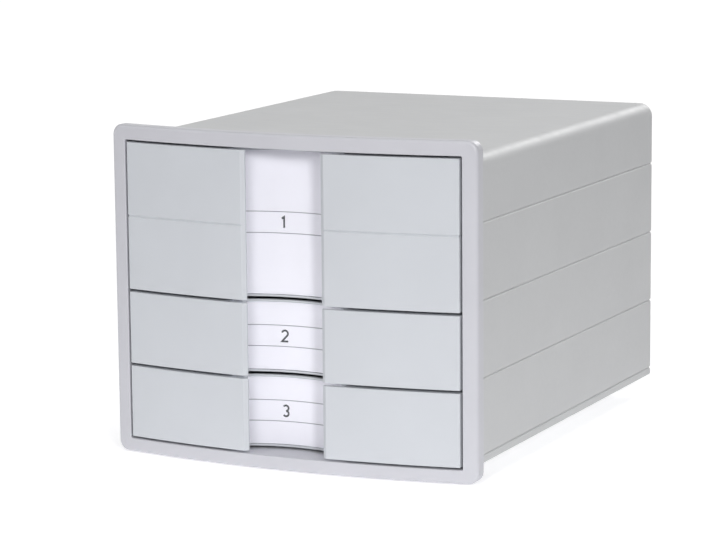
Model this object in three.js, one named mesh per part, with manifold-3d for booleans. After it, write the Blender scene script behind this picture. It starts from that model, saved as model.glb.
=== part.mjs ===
// A desktop box of three closed file drawers: a housing of stacked plastic rings, a bowed front
// frame and three drawers that slide out to the front. Millimetres, Z up. The drawers open
// towards -Y, and the origin lies on the table under the middle of the box.

import * as THREE from 'three';
import { mergeVertices } from 'three/addons/utils/BufferGeometryUtils.js';
import Module from 'manifold-3d';

const wasm = await Module();
wasm.setup();

// Overall size
const frameWidth = 290;
const frameHeight = 243.2;
const overallDepth = 370;
const frontBow = 15; // the middle of the front stands this far ahead of its corners
const footProjection = 1.8; // rubber that shows below the frame
const meetingGap = 0.3; // between pieces that touch
const cutOverrun = 4; // a cutter runs this far past what it cuts

// Front frame
const bezelDepth = 10;
const bezelCornerRadius = 8;
const sideBar = 11.4;
const topBar = 11;
const bottomBar = 10.1;
const collarReach = 8; // the collar behind the bezel's corners, inside the housing
const collarWall = 3;
const collarLip = 5; // overlap of the collar under the base
const openingCornerRadius = 1;

// Housing
const housingInset = 0.5; // the side walls lie this far inside the frame's width
const housingTopDrop = 10.5; // from the frame's top edge down to the top cover
const housingWall = 3.2;
const rearCornerRadius = 3;
const shoulderRadius = 10; // the long rounded edges of the top cover
const baseRise = 13.2; // from the frame's lower edge up to the base
const baseStripHeight = 6.2;
const baseFloorRecess = 1; // the floor lies this far above the strip's lower edge
const baseFloorThickness = 2.5;
const seamChamfer = 1.1; // one flank of the groove between two rings
const tongueThickness = 1;
const tongueHeight = 2.2;

// Feet
const footSideInset = 50;
const footFrontInset = 60;
const footRearInset = 35;
const footBossRadius = 10;
const footBossWall = 1.7;
const footSeatDepth = 2;
const footPadHeight = 3; // from the table to the boss
const footEdge = 0.8;

// Drawers
const drawerUnits = 4;
const drawerGap = 1.2; // the dark line around every drawer front
const drawers = [
  { name: 'bottom', firstUnit: 0, units: 1 },
  { name: 'middle', firstUnit: 1, units: 1 },
  { name: 'top', firstUnit: 2, units: 2 },
];

// Drawer front
const frontSheet = 2.6;
const ledgeThickness = 2;
const wingInnerHalf = 31.2; // from the middle to the edge that the fingers pull
const wingBevelWidth = 4;
const wingBevelDepth = 3;
const wingTipDepth = 4;
const pocketHalf = 45; // from the middle to the side of the finger pocket
const pocketStep = 4.5;
const unitGrooveHeight = 1.4;
const unitGrooveDepth = 0.8;
const ribPlaceShares = [0.25, 0.5, 0.78]; // of the way from the pocket to the drawer's side
const hookWidth = 6;
const hookThickness = 2;
const hookBarb = 1.2;
const hookBarbLength = 2;

// Label
const recessDepth = 24.7; // at the middle, from the bowed face back to the label
const labelRadius = 98;
const labelHalf = 38;
const labelSheet = 3.6;
const labelRim = 2; // the plain strip above and below the window
const windowThickness = 0.8;
const cardThickness = 0.4;

// Drawer tray and its runners
const trayFlangeWidth = 6.4;
const trayFlangeThickness = 2.5;
const trayWall = 2;
const trayFrontWall = 2.5;
const trayFloor = 2;
const trayBottomRise = 7; // from the front's lower edge up to the tray
const trayRimDrop = 4; // from the unit's upper line down to the tray's rim
const trayCornerRadius = 6;
const trayRearGap = 1;
const runnerThickness = 3;
const runnerGap = 1.5; // beside the tray
const slideGap = 0.4; // under the flange
const guideGap = 0.8; // over the flange
const guideThickness = 2;
const stopTabReach = 3.2;
const stopTabLength = 8;
const stopTabSetback = 62.3; // from the tray's rear forward to the tabs: the drawer comes out by 270
const closeGap = 0.5; // between a closed front and the base's sill

// Steps in the curves
const bowSteps = 40;
const labelSteps = 16;
const cornerSteps = 6;
const footSteps = 32;

// Places worked out from the sizes
const frontY = -overallDepth / 2;
const rearY = overallDepth / 2;
const frameHalf = frameWidth / 2;
const frameBottomZ = footProjection;
const frameTopZ = frameBottomZ + frameHeight;
const openingHalf = frameHalf - sideBar;
const openingBottomZ = frameBottomZ + bottomBar;
const openingTopZ = frameTopZ - topBar;
const unitPitch = (openingTopZ - openingBottomZ - drawerGap) / drawerUnits;
const bowRadius = (frameHalf ** 2 + frontBow ** 2) / (2 * frontBow);

const housingHalf = frameHalf - housingInset;
const housingInnerHalf = housingHalf - housingWall;
const housingTopZ = frameTopZ - housingTopDrop;
const housingInnerRearY = rearY - housingWall;
const housingFrontY = faceY(housingHalf) + bezelDepth + meetingGap;
const shoulderZ = housingTopZ - shoulderRadius;
const baseBottomZ = frameBottomZ + baseRise;
const firstSeamZ = baseBottomZ + baseStripHeight;
const lastSeamZ = firstSeamZ + (drawerUnits - 1) * unitPitch;

const collarBackY = housingFrontY + collarReach;
const collarHalf = housingInnerHalf - meetingGap;
const collarTopZ = openingTopZ + collarWall;
const collarBottomZ = openingBottomZ - collarWall;
const coverFrontY = collarBackY + meetingGap;

const labelCentreY = frontY + recessDepth - labelRadius;
const frontHalf = openingHalf - drawerGap;
const frontBackY = frontY + recessDepth + labelSheet;
const trayFrontY = frontBackY + meetingGap;
const trayRearY = housingInnerRearY - trayRearGap;
const trayHalf = frontHalf - trayFlangeWidth;
const runnerInnerHalf = trayHalf + runnerGap;

// Tells how far back the bowed face lies at a distance from the middle
function faceY(x) {
  return frontY + bowRadius - Math.sqrt(bowRadius ** 2 - x ** 2);
}

// Turns a closed three.js geometry into a solid that can be joined and cut
function toSolid(geometry) {
  geometry.deleteAttribute('normal');
  geometry.deleteAttribute('uv');
  const merged = mergeVertices(geometry);
  return new wasm.Manifold(new wasm.Mesh({
    numProp: 3,
    vertProperties: new Float32Array(merged.attributes.position.array),
    triVerts: new Uint32Array(merged.index.array),
  }));
}

function toGeometry(solid) {
  const mesh = solid.getMesh();
  const geometry = new THREE.BufferGeometry();
  geometry.setAttribute('position', new THREE.BufferAttribute(mesh.vertProperties, mesh.numProp));
  geometry.setIndex(new THREE.BufferAttribute(mesh.triVerts, 1));
  geometry.computeVertexNormals();
  return geometry;
}

function join(solids) {
  return solids.reduce((whole, next) => whole.add(next));
}

function cut(solid, cutters) {
  return cutters.reduce((rest, next) => rest.subtract(next), solid);
}

// A block between two corners
function block([x0, x1], [y0, y1], [z0, z1]) {
  const geometry = new THREE.BoxGeometry(x1 - x0, y1 - y0, z1 - z0);
  geometry.translate((x0 + x1) / 2, (y0 + y1) / 2, (z0 + z1) / 2);
  return toSolid(geometry);
}

// A plan outline, drawn in x and y, raised from z0 to z1
function prismUp(outline, [z0, z1]) {
  const geometry = new THREE.ExtrudeGeometry(outline, {
    depth: z1 - z0,
    bevelEnabled: false,
    curveSegments: cornerSteps,
  });
  geometry.translate(0, 0, z0);
  return toSolid(geometry);
}

// A front outline, drawn in x and z, carried back from y0 to y1
function prismBack(outline, [y0, y1]) {
  const geometry = new THREE.ExtrudeGeometry(outline, {
    depth: y1 - y0,
    bevelEnabled: false,
    curveSegments: cornerSteps,
  });
  geometry.rotateX(Math.PI / 2);
  geometry.translate(0, y1, 0);
  return toSolid(geometry);
}

function roundedRectangle([x0, x1], [v0, v1], radius) {
  const outline = new THREE.Shape();
  outline.moveTo(x0 + radius, v0);
  outline.lineTo(x1 - radius, v0);
  outline.absarc(x1 - radius, v0 + radius, radius, -Math.PI / 2, 0);
  outline.lineTo(x1, v1 - radius);
  outline.absarc(x1 - radius, v1 - radius, radius, 0, Math.PI / 2);
  outline.lineTo(x0 + radius, v1);
  outline.absarc(x0 + radius, v1 - radius, radius, Math.PI / 2, Math.PI);
  outline.lineTo(x0, v0 + radius);
  outline.absarc(x0 + radius, v0 + radius, radius, Math.PI, 3 * Math.PI / 2);
  return outline;
}

function polygon(points) {
  return new THREE.Shape(points.map(([x, y]) => new THREE.Vector2(x, y)));
}

// Points on the bowed face, or on a copy of it that is set back
function bowPoints(fromX, toX, setBack) {
  const steps = Math.max(2, Math.round(bowSteps * Math.abs(toX - fromX) / frameWidth));
  return Array.from({ length: steps + 1 }, (_, step) => {
    const x = fromX + (toX - fromX) * step / steps;
    return [x, faceY(x) + setBack];
  });
}

// Points on a vertical cylinder around the label's axis, between two angles from the middle
function labelPoints(radius, fromAngle, toAngle) {
  return Array.from({ length: labelSteps + 1 }, (_, step) => {
    const angle = fromAngle + (toAngle - fromAngle) * step / labelSteps;
    return [radius * Math.sin(angle), labelCentreY + radius * Math.cos(angle)];
  });
}

// A curved sheet around the label's axis
function labelBand([innerRadius, outerRadius], angle, heights) {
  const points = [
    ...labelPoints(innerRadius, -angle, angle),
    ...labelPoints(outerRadius, angle, -angle),
  ];
  return prismUp(polygon(points), heights);
}

const labelAngle = Math.asin(labelHalf / labelRadius);
const windowRadii = [labelRadius, labelRadius + windowThickness];
const cardFrontRadius = labelRadius + windowThickness + meetingGap;
const cardRadii = [cardFrontRadius, cardFrontRadius + cardThickness];
const seatRadius = cardFrontRadius + cardThickness + meetingGap;
const seatedAngle = labelAngle - meetingGap / labelRadius;

// Front frame: a bowed bezel, and a collar behind it that closes the housing's mouth
function frontFrame() {
  const bezelPlan = polygon([
    ...bowPoints(-frameHalf, frameHalf, 0),
    ...bowPoints(frameHalf, -frameHalf, bezelDepth),
  ]);
  const bezelHeights = [frameBottomZ, frameTopZ];
  const bezelOutline = roundedRectangle([-frameHalf, frameHalf], bezelHeights, bezelCornerRadius);
  const frameReach = [frontY - cutOverrun, collarBackY + collarLip];
  const bezel = prismUp(bezelPlan, bezelHeights).intersect(prismBack(bezelOutline, frameReach));

  const capHalf = housingHalf - shoulderRadius;
  const behindBezel = prismUp(polygon([
    ...bowPoints(-frameHalf, frameHalf, bezelDepth / 2),
    [frameHalf, collarBackY],
    [-frameHalf, collarBackY],
  ]), [collarBottomZ - cutOverrun, frameTopZ]);
  const aboveWalls = block([-frameHalf, frameHalf], frameReach, [shoulderZ + meetingGap, frameTopZ]);
  const collarShape = join([
    block([-collarHalf, collarHalf], frameReach, [collarBottomZ, shoulderZ + 2 * meetingGap]),
    housingProfile(housingHalf, housingTopZ, shoulderRadius, collarBottomZ, frameReach)
      .intersect(aboveWalls),
    block([-capHalf, capHalf], frameReach, [shoulderZ, collarTopZ]),
  ]).intersect(behindBezel);

  const opening = prismBack(
    roundedRectangle([-openingHalf, openingHalf], [openingBottomZ, openingTopZ], openingCornerRadius),
    frameReach,
  );
  const lip = block(
    [-openingHalf, openingHalf],
    [collarBackY - collarWall, collarBackY + collarLip],
    [collarBottomZ, openingBottomZ],
  );
  return cut(bezel.add(collarShape), [opening]).add(lip);
}

// The housing's cross-section, with rounded shoulders, carried along Y
function housingProfile(half, topZ, radius, bottomZ, reach) {
  const outline = new THREE.Shape();
  outline.moveTo(-half, bottomZ);
  outline.lineTo(half, bottomZ);
  outline.lineTo(half, topZ - radius);
  outline.absarc(half - radius, topZ - radius, radius, 0, Math.PI / 2);
  outline.lineTo(-half + radius, topZ);
  outline.absarc(-half + radius, topZ - radius, radius, Math.PI / 2, Math.PI);
  return prismBack(outline, reach);
}

// The outer block of one housing level, with its seam edges chamfered
function levelBlock(height) {
  const outline = roundedRectangle([-housingHalf, housingHalf], [frontY, rearY], rearCornerRadius);
  const geometry = new THREE.ExtrudeGeometry(outline, {
    depth: height - 2 * seamChamfer,
    bevelSize: seamChamfer,
    bevelThickness: seamChamfer,
    bevelOffset: -seamChamfer,
    bevelSegments: 1,
    curveSegments: cornerSteps,
  });
  geometry.translate(0, 0, seamChamfer);
  const heights = [-cutOverrun, height + cutOverrun];
  return toSolid(geometry).subtract(
    block([-frameWidth, frameWidth], [frontY - cutOverrun, housingFrontY], heights),
  );
}

// A plan that is open to the front: the hollow inside the walls, grown by a margin
function innerPlan(margin) {
  const half = housingInnerHalf + margin;
  return polygon([
    [-half, frontY - cutOverrun],
    [half, frontY - cutOverrun],
    [half, housingInnerRearY + margin],
    [-half, housingInnerRearY + margin],
  ]);
}

// The tongue on a level's upper edge, which the next level's rebate goes over
function tongue(height) {
  const [bottom, top] = [height - tongueHeight, height + tongueHeight];
  const cutHeights = [bottom - cutOverrun, top + cutOverrun];
  const inFront = block([-frameWidth, frameWidth], [frontY - frameWidth, coverFrontY], cutHeights);
  return prismUp(innerPlan(tongueThickness), [bottom, top])
    .subtract(prismUp(innerPlan(0), cutHeights))
    .subtract(inFront);
}

function rebate() {
  return prismUp(innerPlan(tongueThickness + meetingGap), [-cutOverrun, tongueHeight + meetingGap])
    .subtract(block(
      [-frameWidth, frameWidth],
      [frontY - frameWidth, coverFrontY - meetingGap],
      [-2 * cutOverrun, 2 * cutOverrun],
    ));
}

// How high the tray's rim lies when its top unit is the given one
function rimZ(unit) {
  return openingBottomZ + (unit + 1) * unitPitch - trayRimDrop;
}

// The rib that carries a tray's flange and the rib that keeps it down, on both walls
function runners(levelZ, unit, guideTopZ) {
  const runnerTopZ = rimZ(unit) - trayFlangeThickness - slideGap - levelZ;
  const guideBottomZ = rimZ(unit) + guideGap - levelZ;
  const ribY = [coverFrontY, housingInnerRearY + housingWall / 2];
  const rootX = housingInnerHalf + housingWall / 2;
  return [-1, 1].flatMap((side) => {
    const ribX = side < 0 ? [-rootX, -runnerInnerHalf] : [runnerInnerHalf, rootX];
    return [
      block(ribX, ribY, [runnerTopZ - runnerThickness, runnerTopZ]),
      block(ribX, ribY, [guideBottomZ, guideTopZ]),
    ];
  });
}

// One wall ring, standing on z = 0: all three are the same moulding
function housingRing() {
  const hollow = prismUp(innerPlan(0), [-cutOverrun, unitPitch + cutOverrun]);
  const guideTopZ = rimZ(0) + guideGap + guideThickness - firstSeamZ;
  const walls = cut(levelBlock(unitPitch), [hollow, rebate()]);
  return join([walls, tongue(unitPitch), ...runners(firstSeamZ, 0, guideTopZ)]);
}

// Top cover, standing on z = 0 at the last seam
function housingTop() {
  const height = housingTopZ - lastSeamZ;
  const reach = [frontY - cutOverrun, rearY];
  const outside = levelBlock(height)
    .intersect(housingProfile(housingHalf, height, shoulderRadius, -cutOverrun, reach));
  const hollow = housingProfile(
    housingInnerHalf,
    height - housingWall,
    shoulderRadius - housingWall,
    -cutOverrun,
    [frontY - 2 * cutOverrun, housingInnerRearY],
  );
  const aheadOfCover = block(
    [-frameWidth, frameWidth],
    [frontY - 2 * cutOverrun, coverFrontY],
    [shoulderZ - lastSeamZ, height + cutOverrun],
  );
  const shell = cut(outside, [hollow, rebate(), aheadOfCover]);
  const guideTopZ = height - housingWall / 2;
  const middleOfWall = housingProfile(
    housingInnerHalf + housingWall / 2,
    guideTopZ,
    shoulderRadius - housingWall / 2,
    -cutOverrun,
    [coverFrontY, rearY],
  );
  const ribs = runners(lastSeamZ, drawerUnits - 1, guideTopZ);
  return join([shell, ...ribs.map((rib) => rib.intersect(middleOfWall))]);
}

const footPlaces = [
  { name: 'foot_front_left', x: -frameHalf + footSideInset, y: frontY + footFrontInset },
  { name: 'foot_front_right', x: frameHalf - footSideInset, y: frontY + footFrontInset },
  { name: 'foot_rear_left', x: -frameHalf + footSideInset, y: rearY - footRearInset },
  { name: 'foot_rear_right', x: frameHalf - footSideInset, y: rearY - footRearInset },
];

function uprightCylinder(radius, { x, y }, [z0, z1]) {
  const geometry = new THREE.CylinderGeometry(radius, radius, z1 - z0, footSteps);
  geometry.rotateX(Math.PI / 2);
  geometry.translate(x, y, (z0 + z1) / 2);
  return toSolid(geometry);
}

// Base: a floor with a low strip around it, a sill that rests on the frame's lip and stops the
// bottom drawer, and a boss over each foot
function housingBase() {
  const strip = levelBlock(baseStripHeight)
    .subtract(prismUp(innerPlan(0), [-cutOverrun, baseStripHeight + cutOverrun]))
    .add(tongue(baseStripHeight));
  const floorRoot = housingInnerHalf + housingWall / 2;
  const floorTop = baseFloorRecess + baseFloorThickness;
  const floor = block(
    [-floorRoot, floorRoot],
    [coverFrontY, housingInnerRearY + housingWall / 2],
    [baseFloorRecess, floorTop],
  );
  const sill = block(
    [openingCornerRadius - openingHalf, openingHalf - openingCornerRadius],
    [frontBackY + closeGap, collarBackY + collarLip],
    [openingBottomZ + meetingGap - baseBottomZ, floorTop],
  );
  const bossBottom = footPadHeight - baseBottomZ;
  const bossHeights = [bossBottom, floorTop - baseFloorThickness / 2];
  const seatHeights = [bossBottom - cutOverrun, bossBottom + footSeatDepth];
  const seatHalf = footBossRadius - footBossWall;
  const bosses = footPlaces.map((place) => uprightCylinder(footBossRadius, place, bossHeights));
  const seats = footPlaces.map((place) => uprightCylinder(seatHalf, place, seatHeights));
  return cut(join([strip, floor, sill, ...bosses]), seats);
}

// Rubber foot, with its lower edge chamfered, pushed into its boss
function foot() {
  const radius = footBossRadius - footBossWall - meetingGap;
  const top = footPadHeight + footSeatDepth - meetingGap;
  const geometry = new THREE.LatheGeometry([
    new THREE.Vector2(0, 0),
    new THREE.Vector2(radius - footEdge, 0),
    new THREE.Vector2(radius, footEdge),
    new THREE.Vector2(radius, top),
    new THREE.Vector2(0, top),
  ], footSteps);
  geometry.rotateX(Math.PI / 2);
  return toSolid(geometry);
}

// Drawer front, standing on z = 0. Its plan is one sheet: a bowed wing on each side, a pocket
// behind each wing's inner edge for the fingers, and the hollow seat of the label between them
function frontPlan() {
  const labelEnd = labelPoints(labelRadius, labelAngle, labelAngle)[0];
  const pocketY = labelEnd[1] - pocketStep;
  const pocketBackHalf = pocketHalf + frontSheet;
  const wingTip = [
    [pocketHalf, pocketY],
    [pocketHalf, faceY(pocketHalf) + wingTipDepth],
    [wingInnerHalf, faceY(wingInnerHalf) + wingTipDepth],
    [wingInnerHalf, faceY(wingInnerHalf) + wingBevelDepth],
  ];
  const shown = [...wingTip, ...bowPoints(wingInnerHalf + wingBevelWidth, frontHalf, 0)];
  const hidden = [
    ...bowPoints(frontHalf, pocketBackHalf, frontSheet),
    [pocketBackHalf, pocketY + frontSheet / 2],
  ];
  const mirrored = (points) => points.map(([x, y]) => [-x, y]).reverse();
  return polygon([
    ...mirrored(shown),
    ...labelPoints(labelRadius, -labelAngle, labelAngle),
    ...shown,
    ...hidden,
    ...labelPoints(labelRadius + labelSheet, labelAngle, -labelAngle),
    ...mirrored(hidden),
  ]);
}

function ribPlaces() {
  return ribPlaceShares.map((share) => pocketHalf + share * (frontHalf - pocketHalf));
}

// Heights of a front's snap hooks: one row in the middle of each unit
function hookHeights(units) {
  return Array.from({ length: units }, (_, unit) => (unit + 1 / 2) * unitPitch);
}

function frontWing(side, height, units) {
  const wingRoot = pocketHalf + frontSheet / 2;
  const ordered = (nearX, farX) => (side < 0 ? [-farX, -nearX] : [nearX, farX]);
  const ledgePlan = polygon([
    ...bowPoints(side * wingRoot, side * frontHalf, frontSheet / 2),
    [side * frontHalf, frontBackY],
    [side * wingRoot, frontBackY],
  ]);
  const flank = block(
    ordered(frontHalf - ledgeThickness, frontHalf),
    [faceY(frontHalf) + frontSheet / 2, frontBackY],
    [0, height],
  );
  const ribs = ribPlaces().map((x) => block(
    ordered(x - ledgeThickness / 2, x + ledgeThickness / 2),
    [faceY(x) + frontSheet / 2, frontBackY],
    [ledgeThickness / 2, height - ledgeThickness / 2],
  ));
  const barbY = trayFrontY + trayFrontWall + meetingGap;
  const hooks = ribPlaces().flatMap((x) => hookHeights(units).flatMap((z) => {
    const hookX = ordered(x - hookWidth / 2, x + hookWidth / 2);
    const endY = barbY + hookBarbLength;
    return [
      block(hookX, [frontBackY - hookBarbLength, endY], [z, z + hookThickness]),
      block(hookX, [barbY, endY], [z + hookThickness / 2, z + hookThickness + hookBarb]),
    ];
  }));
  return [
    prismUp(ledgePlan, [0, ledgeThickness]),
    prismUp(ledgePlan, [height - ledgeThickness, height]),
    flank,
    ...ribs,
    ...hooks,
  ];
}

function frontHeight(units) {
  return units * unitPitch - drawerGap;
}

// The fine groove on each wing, at every unit line that the front spans
function unitGrooves(units) {
  return Array.from({ length: units - 1 }, (_, unit) => {
    const middle = (unit + 1) * unitPitch - drawerGap / 2;
    const heights = [middle - unitGrooveHeight / 2, middle + unitGrooveHeight / 2];
    const start = wingInnerHalf + wingBevelWidth;
    const end = frontHalf + cutOverrun;
    return [-1, 1].map((side) => prismUp(polygon([
      ...bowPoints(side * start, side * end, -cutOverrun),
      ...bowPoints(side * end, side * start, unitGrooveDepth),
    ]), heights));
  }).flat();
}

function drawerFront({ units }) {
  const height = frontHeight(units);
  const whole = join([
    prismUp(frontPlan(), [0, height]),
    ...frontWing(-1, height, units),
    ...frontWing(1, height, units),
  ]);
  const seat = labelBand([labelRadius - cutOverrun, seatRadius], labelAngle, [labelRim, height - labelRim]);
  return cut(whole, [seat, ...unitGrooves(units)]);
}

function labelHeights(units) {
  return [labelRim + meetingGap, frontHeight(units) - labelRim - meetingGap];
}

function labelWindow({ units }) {
  return labelBand(windowRadii, seatedAngle, labelHeights(units));
}

function labelCard({ units }) {
  return labelBand(cardRadii, seatedAngle, labelHeights(units));
}

// Drawer tray: an open box hung by its flanges, with a stop tab on each side and slots for the
// front's snap hooks
function drawerTray({ units }) {
  const rim = units * unitPitch - drawerGap - trayRimDrop;
  const outer = roundedRectangle([-trayHalf, trayHalf], [trayFrontY, trayRearY], trayCornerRadius);
  const inner = roundedRectangle(
    [-trayHalf + trayWall, trayHalf - trayWall],
    [trayFrontY + trayFrontWall, trayRearY - trayWall],
    trayCornerRadius - trayWall,
  );
  const flangeStartY = trayFrontY + trayCornerRadius;
  const flangeEndY = trayRearY - trayCornerRadius;
  const flangeZ = [rim - trayFlangeThickness, rim];
  const flangeRoot = trayHalf - trayWall / 2;
  const stopY = trayRearY - stopTabSetback;
  const sides = [-1, 1].flatMap((side) => {
    const ordered = (nearX, farX) => (side < 0 ? [-farX, -nearX] : [nearX, farX]);
    return [
      block(ordered(flangeRoot, frontHalf), [flangeStartY, flangeEndY], flangeZ),
      block(ordered(flangeRoot, frontHalf + stopTabReach), [stopY, stopY + stopTabLength], flangeZ),
    ];
  });
  const slotHalf = hookWidth / 2 + meetingGap;
  const slotY = [trayFrontY - cutOverrun, trayFrontY + trayFrontWall + cutOverrun];
  const slotPlaces = ribPlaces().flatMap((x) => [-x, x]);
  const slots = slotPlaces.flatMap((x) => hookHeights(units).map((z) => (
    block([x - slotHalf, x + slotHalf], slotY, [z - meetingGap, z + hookThickness + hookBarb + meetingGap])
  )));
  const hollow = prismUp(inner, [trayBottomRise + trayFloor, rim + cutOverrun]);
  const tub = prismUp(outer, [trayBottomRise, rim]).subtract(hollow);
  return cut(join([tub, ...sides]), slots);
}

// Materials
function plastic(color, roughness) {
  return new THREE.MeshStandardMaterial({ color, roughness, metalness: 0 });
}

const housingPlastic = plastic(0xb9bbbc, 0.55);
const framePlastic = plastic(0xcfd0d6, 0.45);
const frontPlastic = plastic(0xced1d6, 0.5);
const trayPlastic = plastic(0xc4c6c9, 0.55);
const labelPaper = plastic(0xf3f3f8, 0.85);
const footRubber = plastic(0x4a4b4d, 0.9);
const windowPlastic = new THREE.MeshStandardMaterial({
  color: 0xffffff,
  roughness: 0.15,
  metalness: 0,
  transparent: true,
  opacity: 0.2,
});

function piece(name, solid, material) {
  const mesh = new THREE.Mesh(toGeometry(solid), material);
  mesh.name = name;
  return mesh;
}

// Assembly
const drawerBox = new THREE.Group();
drawerBox.add(piece('front_frame', frontFrame(), framePlastic));

const base = piece('housing_base', housingBase(), housingPlastic);
base.position.z = baseBottomZ;
drawerBox.add(base);

['lower', 'middle', 'upper'].forEach((level, index) => {
  const ring = piece(`housing_ring_${level}`, housingRing(), housingPlastic);
  ring.position.z = firstSeamZ + index * unitPitch;
  drawerBox.add(ring);
});

const cover = piece('housing_top', housingTop(), housingPlastic);
cover.position.z = lastSeamZ;
drawerBox.add(cover);

footPlaces.forEach(({ name, x, y }) => {
  const pad = piece(name, foot(), footRubber);
  pad.position.set(x, y, 0);
  drawerBox.add(pad);
});

drawers.forEach((drawer) => {
  const group = new THREE.Group();
  group.position.z = openingBottomZ + drawerGap + drawer.firstUnit * unitPitch;
  group.add(
    piece(`${drawer.name}_drawer_front`, drawerFront(drawer), frontPlastic),
    piece(`${drawer.name}_drawer_tray`, drawerTray(drawer), trayPlastic),
    piece(`${drawer.name}_label_card`, labelCard(drawer), labelPaper),
    piece(`${drawer.name}_label_window`, labelWindow(drawer), windowPlastic),
  );
  drawerBox.add(group);
});

export default drawerBox;
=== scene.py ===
"""The looks of a desktop box of three file drawers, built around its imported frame. Metres, Z up."""

import math

import bmesh
import bpy
from mathutils import Euler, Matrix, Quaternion, Vector


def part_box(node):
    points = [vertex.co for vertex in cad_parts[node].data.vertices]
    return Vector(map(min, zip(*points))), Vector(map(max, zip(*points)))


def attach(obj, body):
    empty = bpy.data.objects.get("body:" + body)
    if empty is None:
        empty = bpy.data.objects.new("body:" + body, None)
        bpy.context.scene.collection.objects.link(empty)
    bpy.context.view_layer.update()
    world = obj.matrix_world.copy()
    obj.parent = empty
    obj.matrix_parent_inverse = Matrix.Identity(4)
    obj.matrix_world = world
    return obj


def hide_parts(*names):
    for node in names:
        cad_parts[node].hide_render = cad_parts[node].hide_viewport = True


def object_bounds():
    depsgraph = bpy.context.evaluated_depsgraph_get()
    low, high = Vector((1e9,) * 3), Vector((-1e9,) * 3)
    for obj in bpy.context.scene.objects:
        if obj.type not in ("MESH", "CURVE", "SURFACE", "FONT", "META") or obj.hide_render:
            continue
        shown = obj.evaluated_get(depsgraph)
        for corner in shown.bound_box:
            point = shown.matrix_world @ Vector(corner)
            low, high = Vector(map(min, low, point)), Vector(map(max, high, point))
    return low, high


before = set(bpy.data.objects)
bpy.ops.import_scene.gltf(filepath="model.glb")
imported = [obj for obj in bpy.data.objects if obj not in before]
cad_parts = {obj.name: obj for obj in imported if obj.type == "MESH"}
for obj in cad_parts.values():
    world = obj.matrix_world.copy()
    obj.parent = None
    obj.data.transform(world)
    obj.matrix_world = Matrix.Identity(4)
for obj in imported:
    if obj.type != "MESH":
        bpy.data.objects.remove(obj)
cad_low, cad_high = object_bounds()

MM = 0.001

# Front frame
FRONT_BOW = 15 * MM
BEZEL_DEPTH = 10 * MM
BEZEL_CORNER = 8 * MM
BEZEL_FRONT_EDGE = 2.3 * MM
BEZEL_BACK_EDGE = 1.2 * MM
OPENING_CORNER = 1 * MM
OPENING_EDGE = 0.9 * MM
COLLAR_WALL = 3 * MM
COLLAR_LIP = 5 * MM

# Housing
HOUSING_WALL = 3.2 * MM
REAR_CORNER = 3 * MM
REAR_TOP_EDGE = 2 * MM
SHOULDER = 10 * MM
SEAM_CHAMFER = 1.1 * MM
SEAM_EDGE = 0.35 * MM
SMALL_EDGE = 0.6 * MM  # of the ribs, the floor, the sill and the trays
TONGUE = 1 * MM
TONGUE_HEIGHT = 2.2 * MM
MEETING_GAP = 0.3 * MM
REBATE = HOUSING_WALL - TONGUE - MEETING_GAP
BASE_RISE = 13.2 * MM  # from the frame's lower edge up to the base's strip
BASE_EDGE = 2 * MM
BASE_FLOOR_RECESS = 1 * MM
BASE_FLOOR = 2.5 * MM
CLOSE_GAP = 0.5 * MM  # between a closed front and the base's sill
BOSS_WALL = 1.7 * MM
BOSS_HEIGHT = 3 * MM  # from the table to the boss
FOOT_EDGE = 1 * MM

# Drawer fronts
DRAWER_GAP = 1.2 * MM
EXTRA_GAP = 0.45 * MM  # the fronts stand a little further apart than in the CAD
FRONT_SHEET = 2.6 * MM
FRONT_EDGE = 0.55 * MM
SIDE_EDGE = 0.9 * MM  # this and the bevel's edge are larger than the front's own edge
LABEL_EDGE = 0.5 * MM
LEDGE = 2 * MM
WING_INNER = 30 * MM
WING_BEVEL = 3 * MM
WING_BEVEL_DEPTH = 2.2 * MM
WING_TIP_DEPTH = 3.8 * MM
POCKET_HALF = 45 * MM
POCKET_STEP = 4.5 * MM
SOFT_EDGE = 0.8 * MM
TIP_EDGE = 0.65 * MM
BEVEL_EDGE = 0.9 * MM
GROOVE_HEIGHT = 2.2 * MM
GROOVE_DEPTH = 0.8 * MM
RIB_SHARES = (0.25, 0.5, 0.78)  # of the way from the pocket to the drawer's side

# Labels
RECESS_DEPTH = 24.7 * MM
LABEL_RADIUS = 98 * MM
LABEL_HALF = 38 * MM
LABEL_SHEET = 3.6 * MM
LABEL_RIM = 2 * MM
WINDOW = 0.8 * MM
CARD = 0.4 * MM
RULE_SPACING = 15.5 * MM
RULE_HEIGHT = 0.6 * MM
INK = 0.03 * MM
NUMBER_SHIFT = -11 * MM
DIGIT_SIZE = 8 * MM
DIGIT_STROKE = 1.4 * MM
END_SHARE = 0.5  # these shares are of a number's size, and this one is its top or its foot
ONE_SHARES = ((-0.17, 0.34), (0.06, END_SHARE), (0.06, -END_SHARE))
TWO_BOWL_SHARE = 0.28
TWO_FOOT_SHARE = 0.31
THREE_BOWL_SHARE = 0.25

# Trays and runners
TRAY_WALL = 2 * MM
TRAY_FRONT_WALL = 2.5 * MM
TRAY_FLOOR = 2 * MM
TRAY_CORNER = 6 * MM
TRAY_BOTTOM_EDGE = 1.8 * MM
TRAY_FLANGE_WIDTH = 6.4 * MM
TRAY_FLANGE = 2.5 * MM
TRAY_RIM_DROP = 4 * MM
STOP_TAB = 8 * MM
STOP_TAB_SETBACK = 62.3 * MM
RUNNER = 3 * MM
RUNNER_GAP = 1.5 * MM
SLIDE_GAP = 0.4 * MM
GUIDE_GAP = 0.8 * MM
GUIDE = 2 * MM

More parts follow.
